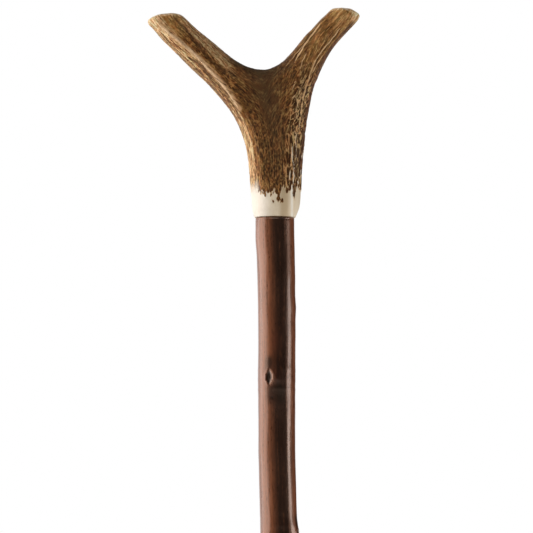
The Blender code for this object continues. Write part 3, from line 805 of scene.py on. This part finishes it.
# Each zone's tone in its pits, on its even skin and on its ridges; first the skin in general
ZONES = (
    ("", (56, 33, 17), (117, 76, 39), (176, 128, 78)),
    ("web", (46, 30, 19), (81, 58, 38), (130, 96, 62)),
    ("inner", (80, 54, 34), (164, 128, 92), (214, 182, 144)),
    ("arm_right", (80, 48, 20), (134, 94, 49), (194, 148, 92)),
    ("arm_tip", (124, 88, 48), (170, 129, 78), (204, 164, 112)),
    ("honey", (112, 68, 32), (158, 110, 60), (200, 154, 100)),
    ("pale", (104, 70, 44), (184, 142, 98), (246, 214, 172)),
    ("gnarl", (48, 28, 14), (84, 54, 30), (226, 186, 138)),
    ("shade_edge", (58, 32, 22), (92, 56, 38), (150, 110, 82)),
    # Painted shade on the crotch's upward faces
    ("saddle", (50, 36, 23), (76, 56, 37), (106, 82, 56)),
    ("tip_pale", (156, 116, 78), (212, 176, 134), (246, 228, 196)),
)


def zone_tone(level):
    """One of the three tones, mixed over the zones."""
    mixed = srgb(*ZONES[0][level])
    for zone in ZONES[1:]:
        mixed = skin.mix(field[zone[0]], mixed, srgb(*zone[level]))
    return mixed


colour = skin.mix(tone.ramp(-0.55, 0.0), zone_tone(1), zone_tone(2))
colour = skin.mix(tone.ramp(0.0, 0.6), colour, zone_tone(3))
tint = skin.mix((hues + clouds * 0.5).ramp(0.55, 0.95), srgb(255, 224, 196), srgb(234, 242, 222))
colour = skin.mix(0.8, colour, tint, "MULTIPLY")
# Painted highlight with some wear: the swell is paler where rubbed and painted lighter as lit, most
# of all along its crest
swell = field["swell_gap"].ramp(1.2, 0.2)
colour = skin.mix(swell * (flecks + streaks * 2.5).ramp(-0.7, 0.2) * 0.75, colour,
                  srgb(218, 172, 126))
crest_highlight = field["crest_gap"].ramp(2.2, 0.2)
colour = skin.mix(crest_highlight * (flecks * 1.5 + streaks * 2.5).ramp(-0.8, 0.3) * 0.8, colour,
                  srgb(240, 204, 164))
# Painted shadow down the right side of each front ridge
colour = skin.mix(field["ridge_shadow"] * 0.6, colour, srgb(70, 42, 22))
colour = skin.mix((field["gutter_gap"] + flecks * 1.6).ramp(1.6, 0.3) * 0.7, colour,
                  srgb(74, 46, 24))
ridge_tone = skin.mix(field["skin_edge"].ramp(20.0, 44.0), srgb(244, 222, 192), srgb(214, 172, 124))
ridge = field["ridge_gap"].ramp(1.4, 0.4)
colour = skin.mix((ridge + flecks * 1.2 * ridge).ramp(0.0, 0.9), colour, ridge_tone)
bone_grain = along_growth(skin.noise, (0.6, 0.6, 8.0), 2.0)
white_bone = skin.mix(bone_grain, srgb(229, 215, 197), srgb(248, 237, 223))
cream_bone = skin.mix(bone_grain, srgb(222, 201, 169), srgb(241, 225, 200))
bone_colour = skin.mix(field["bone_white"], cream_bone, white_bone)
# Painted shade over that band of bone
bone_colour = skin.mix(field["bone_painted_shade"], bone_colour, srgb(198, 175, 142))
# Painted highlight: the bone's ridges are painted nearly white
bone_colour = skin.mix(ridge * 0.7, bone_colour, srgb(255, 250, 238))
from_bone = field["skin_edge"]
ragged_edge = from_bone + blobs * 11.0 + (0.3 - net) * 1.5
low_skin = skin.mix(ragged_edge.ramp(1.6, 0.3), srgb(80, 43, 18), srgb(196, 154, 106))
colour = skin.mix(from_bone.ramp(5.0, 1.5) * field["stained"], colour, low_skin)
fading = (from_bone + blobs * 5.0).ramp(8.0, 0.0) * (1 - field["stained"])
colour = skin.mix(fading, colour, bone_colour)
is_bone = ragged_edge.ramp(0.4, -0.3)
colour = skin.mix(is_bone, colour, bone_colour)
core = skin.mix(along_growth(skin.noise, (0.9, 0.9, 0.9)).ramp(0.4, 0.6),
                srgb(178, 146, 112), srgb(226, 202, 170))
colour = skin.mix(field["tip_face"] * 0.9, colour, core)
skin.finish(antler, Base_Color=colour, Roughness=0.5 - is_bone * 0.08 + field["saddle"] * 0.3,
            Specular_IOR_Level=0.3, Specular_Tint=(1.0, 0.7, 0.42, 1.0),
            Normal=skin.bump(tone * (1 - is_bone * 0.85), 0.16 * MM))
finish_piece(antler, "antler", "antler", "antler_fork", smooth_below=60)

# %% [markdown]
# ## The shank's wood
# The shank is a chestnut shoot: nearly straight, a little thinner toward the tip, never
# quite round. It starts as a cylinder with an edge every 0.8 mm round it. Its long edges are
# cut into rings, and the rings are slid up or down, so that they lie close together where
# there are knots and far apart elsewhere. Each ring then takes its middle and radius from
# the construction model.

# %% Shank: cylinder and rings
SHANK_SIDES = 96
SHANK_RADIUS = 12.0               # mm, as are the next ones
SHANK_CUTS = (24, 24)             # 25 x 25 spans
RING_GAP = 4.0                    # between rings, away from knots
KNOT_RING_GAP = 0.9
END_RING_GAP = 0.3
KNOT_REACH = 16.0                 # above and below a knot, where rings lie close
END_REACH = 2.5
TIP_TOP = 41.1                    # where the pared tip ends
GLUE_RISE = 0.24                  # glue fills the joint up to the antler

# Knots: drop below the joint in mm, bearing from the front toward the right, size. The
# second is a bud under the first.
KNOTS = ((99.9, -22.5, 0.95), (112.6, -14, 0.28), (198, 75, 1.0), (288, -150, 0.7),
         (385, -62, 0.8), (477, 38, 0.6), (571, 162, 0.9), (660, -96, 0.6), (757, 6, 0.8),
         (846, 118, 0.7), (938, -35, 0.6))

# Low swellings: drop in mm, bearing, height and half length in mm
SWELLINGS = ((13, -85, 0.45, 7), (56, 84, 0.5, 5))


def ringed_cylinder(sides, radius, low, high, cuts, place=(0.0, 0.0)):
    """An upright cylinder in mm whose long edges are cut into even rings, step by step."""
    bpy.ops.mesh.primitive_cylinder_add(vertices=sides, radius=radius * MM,
                                        depth=(high - low) * MM,
                                        location=(place[0] * MM, place[1] * MM,
                                                  (low + high) / 2 * MM))
    piece = bpy.context.object
    bpy.ops.object.transform_apply(location=True, rotation=True, scale=True)
    span = (high - low) * MM
    for cut in cuts:
        edit("DESELECT")
        bpy.ops.mesh.select_mode(type="EDGE")
        bpy.ops.object.mode_set(mode="OBJECT")
        for edge in piece.data.edges:
            first, last = (piece.data.vertices[end].co.z for end in edge.vertices)
            edge.select = abs(first - last) > 0.5 * span
        bpy.ops.object.mode_set(mode="EDIT")
        bpy.ops.mesh.subdivide(number_cuts=cut)
        span /= cut + 1
    bpy.ops.mesh.select_mode(type="FACE")
    bpy.ops.mesh.select_all(action="DESELECT")
    bpy.ops.object.mode_set(mode="OBJECT")
    return piece


shank_low, shank_high = (corner.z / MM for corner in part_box("shank"))
levels = np.arange(shank_low, shank_high, 0.05)
gap = np.full(len(levels), RING_GAP)
for drop, _, _ in KNOTS:
    gap[np.abs(levels - (shank_high - drop)) < KNOT_REACH] = KNOT_RING_GAP
for end in (shank_low, shank_high, TIP_TOP):
    gap[np.abs(levels - end) < END_REACH] = END_RING_GAP
ring_count = (SHANK_CUTS[0] + 1) * (SHANK_CUTS[1] + 1) + 1
rings_below = np.cumsum(1 / gap)
rings_below *= (ring_count - 1) / rings_below[-1]
heights = np.interp(np.arange(ring_count), rings_below, levels)
heights[0], heights[-1] = shank_low, shank_high + GLUE_RISE
shank = ringed_cylinder(SHANK_SIDES, SHANK_RADIUS, shank_low, shank_high, SHANK_CUTS)
print("the shank has", ring_count, "rings of", SHANK_SIDES)

# %% [markdown]
# ## Growing the shank out of the cylinder
# Each ring's vertices go to the shank's middle and radius at that height. On top come the
# knots: a low swelling, an eye-shaped scar with a raised lip where a side shoot was cut off,
# and the slight waviness of bark. The edge under the antler is eased, and the stud's bore
# goes down from the top.

# %% Shank: shape
WAVE = 0.16                       # mm, as are the next ones
KNOT_SWELLING = 1.0
SCAR_DEPTH = 0.7
SCAR_HALF_WIDTH = 2.3
SCAR_HALF_HEIGHT = 5.2
LARGE_KNOT = 0.5                  # the size above which a knot has a lip and dark bark
BORE_RADIUS = 4.3
BORE_DEPTH = 50.0
TOP_RADIUS = 12.1
SHOULDER = 0.9                    # the eased edge under the antler
# Painted light round the bark, lighter and redder where the side lamps fall: bearing in degrees
# toward the right, share
LIT_SIDES = ((-180, 0.55), (-120, 0.8), (-40, 1.05), (-18, 0.7), (4, 0.1), (20, 0.0), (45, 0.45),
       (65, 0.9), (120, 0.6), (180, 0.55))


def ring_middles(node):
    """Middle (x, y) and radius in mm of the shank at each ring's height."""
    cad_places, cad_ends = vertex_places(node), edge_ends(node)
    found = []
    for height in heights:
        level = min(max(height, shank_low + 0.05), shank_high - 0.05)
        cut = level_cut(cad_places, cad_ends, level * MM)[:, :2] / MM
        outside = cut[np.hypot(*(cut - cut.mean(axis=0)).T) > 6.0]
        middle = (outside.max(axis=0) + outside.min(axis=0)) / 2
        found.append((*middle, np.median(np.hypot(*(outside - middle).T))))
    return np.array(found)


def turned_from(bearing):
    """How far round the shank each vertex lies from a bearing, in radians to the right."""
    return (angle - math.radians(bearing) + math.pi) % (2 * math.pi) - math.pi


def spot(across, above, power=2):
    """1 in the middle of a spot and 0 outside it; a higher power makes its edge firmer."""
    return np.exp(-across ** power - above ** power)


rings = ring_middles(nodes["shank"])
shank_places = vertex_places(shank) / MM
angle = np.arctan2(shank_places[:, 0], -shank_places[:, 1])      # 0 at the front, to the right
ring_share = (shank_places[:, 2] - shank_low) / (shank_high - shank_low)
ring = np.rint(ring_share * (ring_count - 1)).astype(int)
height = heights[ring]
radius = rings[ring, 2]
swelling, scar, halo, blush, pit, lip = np.zeros((6, len(height)))
for drop, bearing, size in KNOTS:
    large = size > LARGE_KNOT
    across, above = turned_from(bearing) * radius, height - (shank_high - drop)
    swelling += size * KNOT_SWELLING * spot(across / 7.0, above / 7.5)
    from_scar = np.abs(across) / (SCAR_HALF_WIDTH * size) + (above / (SCAR_HALF_HEIGHT * size)) ** 2
    beside = np.abs(above) < SCAR_HALF_HEIGHT * size
    scar_rim = np.exp(-((from_scar - 1.15) / 0.22) ** 2) * beside
    scar += size * (0.3 * scar_rim - SCAR_DEPTH * ease((1.0 - from_scar) / 0.5))
    pit = np.maximum(pit, ease((1.15 - from_scar) / 0.4))
    lip = np.maximum(lip, scar_rim * ease(0.35 + across / 2) * large)
    upper = 0.85 * spot((across + 0.5) / 3.0, (above - 8.4) / 4.8, 4)
    lower = spot((across - 4.1) / 5.8, (above + 10.4) / 6.2, 4)
    halo = np.maximum(halo, np.maximum(upper, lower) * large)
    red = 0.7 * size * spot(across / 3.5, above / 6.0)
    redder = 0.4 * large * spot((across - 3) / 3.0, (above - 22) / 7)
    blush = np.maximum(blush, np.maximum(red, redder))
for drop, bearing, high, half_length in SWELLINGS:
    above = height - (shank_high - drop)
    swelling += high * spot(turned_from(bearing) / 0.6, above / half_length)
around = np.stack([SHANK_RADIUS * np.sin(angle), SHANK_RADIUS * np.cos(angle), height], axis=1)
bark_rise = WAVE * noise_field(around, 7, 7, 26) + 0.07 * noise_field(around, 2.2, 2.2, 12)
bark_rise += 0.05 * noise_field(around, 0.9, 0.9, 16)
pared = ease((TIP_TOP + 1.2 - height) / 0.9)
edge_fade = ease((shank_high - height) / 2.5) * ease((height - shank_low) / 2.5)
eased = np.clip((height - shank_high + SHOULDER) / (SHOULDER + GLUE_RISE), 0, 1)
shoulder = TOP_RADIUS - SHOULDER * (1 - np.sqrt(1 - eased ** 2))
radius = np.where(eased > 0, shoulder, radius)
radius = radius + (swelling + scar + bark_rise) * edge_fade * (1 - pared)
shank_places[:, 0] = rings[ring, 0] + radius * np.sin(angle)
shank_places[:, 1] = rings[ring, 1] - radius * np.cos(angle)
shank_places[:, 2] = height
move_vertices(shank, shank_places * MM)
store(shank, around=around, sunny=np.interp(np.degrees(angle), *np.array(LIT_SIDES, float).T),
      halo=np.clip(halo, 0, 1), blush=blush, pit=pit, lip=lip, pared=pared,
      glue=ease((height - shank_high + 0.1) / 0.3))
for face in shank.data.polygons:
    face.select = len(face.vertices) > 4 and face.center.z > 1.0
pick(shank)
bpy.ops.object.mode_set(mode="EDIT")
bpy.ops.mesh.inset(thickness=(TOP_RADIUS - SHOULDER - BORE_RADIUS) * MM)
bpy.ops.mesh.extrude_region_move(TRANSFORM_OT_translate={"value": (0, 0, -BORE_DEPTH * MM)})
bpy.ops.object.mode_set(mode="OBJECT")
print("shank radius from", radius.min().round(2), "to", radius.max().round(2), "mm")

# %% [markdown]
# ## Bark and varnish
# Chestnut bark is left on and varnished. It has painted light: it is painted red-brown on the
# sides where the left and right lamps fall and nearly black in front, with fine upright
# streaks. Above and below each large knot it is black with soot, and the scar has a pale lip
# on one side. The varnish is a second, glassy coat over a duller red shine. The pared tip
# shows pale wood.

# %% Bark material
bark = Paint(bpy.data.materials.new("bark"))
round_place = bark.attribute("around", "Vector")


def upright_noise(width, height, detail):
    """Noise on the bark with bumps this many mm wide and high."""
    return bark.noise(round_place * (1 / width, 1 / width, 1 / height), detail)


streak = upright_noise(1.3, 30, 4.0)
patch = upright_noise(8, 50, 2.0)
speck = upright_noise(0.8, 3, 2.0)
fibres = streak + (speck - 0.5) * 0.7 + 0.17
# Painted light: the bark is painted lighter and redder where the side lamps fall, and nearly black
# in front
sun = bark.attribute("sunny") + (patch - 0.5) * 0.5
wood = bark.mix(sun.ramp(0.1, 0.95), srgb(36, 19, 12), srgb(128, 73, 45))
wood = bark.mix(fibres.ramp(0.78, 0.5) * 0.45, wood, srgb(34, 20, 13))
wood = bark.mix(fibres.ramp(0.72, 0.95) * 0.3, wood, srgb(120, 72, 44))
sooty = bark.attribute("halo") * (patch * 1.6 + speck * 1.2 + streak * 0.8).ramp(0.8, 1.5)
wood = bark.mix(sooty, wood, srgb(8, 13, 10))
wood = bark.mix(bark.attribute("blush"), wood, srgb(98, 46, 28))
wood = bark.mix(bark.attribute("pit"), wood, srgb(12, 7, 5))
wood = bark.mix(bark.attribute("lip") * 0.9, wood, srgb(182, 134, 108))
tip_wood = bark.mix(streak, srgb(198, 164, 118), srgb(222, 192, 150))
wood = bark.mix(bark.attribute("pared"), wood, tip_wood)
wood = bark.mix(bark.attribute("glue"), wood, srgb(140, 104, 62))
bark.finish(shank, Base_Color=wood, Roughness=fibres * 0.15 + 0.2,
            Specular_IOR_Level=1.0, Specular_Tint=(1.0, 0.6, 0.42, 1.0),
            Coat_Weight=0.4 - sooty * 0.36, Coat_Roughness=0.11,
            Normal=bark.bump(fibres, 0.06 * MM))
finish_piece(shank, "shank", "bark", "shank", smooth_below=40)

# %% [markdown]
# ## The stud
# A threaded stud joins antler and shank: drilled into both and glued. Nobody sees it, but
# whoever takes the stick apart finds a real one. It is a cylinder cut into rings an eighth
# of a thread turn apart; each vertex then moves in or out by where it lies on the helix.

# %% Stud
PITCH = 1.25                      # mm
THREAD_RADIUS = 4.0
ROOT_RADIUS = 3.35
STUD_SIDES = 32
STUD_CUTS = (23, 24)              # about eight rings to a turn of the thread

stud_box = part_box("joint_stud")
stud_middle = (stud_box[0] + stud_box[1]) / 2 / MM
stud_low, stud_high = stud_box[0].z / MM, stud_box[1].z / MM
stud = ringed_cylinder(STUD_SIDES, THREAD_RADIUS, stud_low, stud_high, STUD_CUTS,
                       stud_middle[:2])
stud_places = vertex_places(stud) / MM
offset = stud_places[:, :2] - np.array(stud_middle[:2])
turned = np.arctan2(offset[:, 1], offset[:, 0]) / (2 * math.pi)
flank = np.abs(((stud_places[:, 2] - stud_low) / PITCH - turned) % 1.0 - 0.5) * 2
thread = ROOT_RADIUS + (THREAD_RADIUS - ROOT_RADIUS) * np.clip(1.15 * flank - 0.05, 0, 1)
end_gap = np.minimum(stud_places[:, 2] - stud_low, stud_high - stud_places[:, 2])
thread = np.minimum(thread, THREAD_RADIUS - 1.0 + end_gap)
stud_places[:, :2] = np.array(stud_middle[:2]) + offset / THREAD_RADIUS * thread[:, None]
move_vertices(stud, stud_places * MM)

steel = Paint(bpy.data.materials.new("zinc plated steel"))
dull = steel.noise(steel.place() * (400.0, 400.0, 400.0))
steel.finish(stud, Base_Color=steel.mix(dull, srgb(196, 198, 204), srgb(216, 217, 220)),
             Metallic=1.0, Roughness=dull * 0.15 + 0.28)
finish_piece(stud, "joint_stud", "stud_steel", "joint_stud")

# %% [markdown]
# ## Ferrule and washer
# Rubber ferrules are moulded round a core, so one outline spun round the upright axis makes
# the whole cup: its tread with two ring grooves, its wall, and the hollow that takes the
# tip. A steel washer lies on the hollow's floor, so that the wood doesn't cut through.

# %% Turned pieces
SPIN_STEPS = 96


def turned_piece(outline, bevel=0.0):
    """A solid of revolution round the z axis; the outline is a closed loop of (r, z) in mm."""
    bpy.ops.mesh.primitive_circle_add(vertices=len(outline), radius=1.0)
    piece = bpy.context.object
    for vertex, (radius, height) in zip(piece.data.vertices, outline):
        vertex.co = (radius * MM, 0.0, height * MM)
    edit()
    if bevel:
        bpy.ops.mesh.bevel(offset=bevel * MM, segments=3, affect="VERTICES")
        bpy.ops.mesh.select_all(action="SELECT")
    bpy.ops.mesh.spin(steps=SPIN_STEPS, angle=2 * math.pi, center=(0, 0, 0), axis=(0, 0, 1))
    bpy.ops.mesh.select_all(action="SELECT")
    bpy.ops.mesh.remove_doubles(threshold=0.001 * MM)
    bpy.ops.mesh.dissolve_degenerate(threshold=0.001 * MM)
    bpy.ops.mesh.select_all(action="SELECT")
    bpy.ops.mesh.normals_make_consistent(inside=False)
    bpy.ops.object.mode_set(mode="OBJECT")
    return piece


FERRULE_OUTLINE = (
    (0, 0), (12.0, 0), (12.2, 0.2), (12.2, 1.8), (13.8, 1.8), (13.8, 0.2), (14.0, 0), (14.3, 0),
    (14.5, 0.2), (14.5, 1.8), (16.1, 1.8), (16.1, 0.2), (16.3, 0), (16.8, 0.1), (17.3, 0.45),
    (17.5, 1.0), (17.5, 5.3), (17.3, 5.8), (16.6, 6.6), (15.4, 8.6), (14.5, 11.0), (13.9, 13.5),
    (13.6, 15.5), (12.6, 34.0), (12.55, 35.6), (12.9, 35.9), (13.2, 36.4), (13.3, 37.0),
    (13.3, 39.0), (13.1, 39.7), (12.5, 40.0), (10.6, 40.0), (10.0, 39.6), (9.8, 39.0), (9.8, 8.0),
    (0, 8.0))
ferrule = turned_piece(FERRULE_OUTLINE)
rubber = Paint(bpy.data.materials.new("black rubber"))
scuff = rubber.noise(rubber.place() * (250.0, 250.0, 900.0), 4.0)
worn_foot = rubber.part(rubber.place(), "Z").ramp(3 * MM, 0.0) * 0.6 + scuff * 0.2
rubber.finish(ferrule, Base_Color=rubber.mix(worn_foot, srgb(34, 34, 35), srgb(84, 82, 78)),
              Roughness=scuff * 0.2 + 0.5, Normal=rubber.bump(scuff, 0.05 * MM))
finish_piece(ferrule, "rubber_ferrule", "ferrule_rubber", "rubber_ferrule")

washer_low, washer_high = (corner.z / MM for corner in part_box("ferrule_washer"))
washer = turned_piece(((3.0, washer_low), (9.5, washer_low), (9.5, washer_high),
                       (3.0, washer_high)), bevel=0.2)
bright = Paint(bpy.data.materials.new("bright steel"))
brushed = bright.noise(bright.place() * (2500.0, 300.0, 300.0), 3.0)
bright.finish(washer, Base_Color=bright.mix(brushed, srgb(190, 192, 196), srgb(214, 215, 217)),
              Metallic=1.0, Roughness=brushed * 0.2 + 0.25)
finish_piece(washer, "ferrule_washer", "washer_steel", "ferrule_washer")
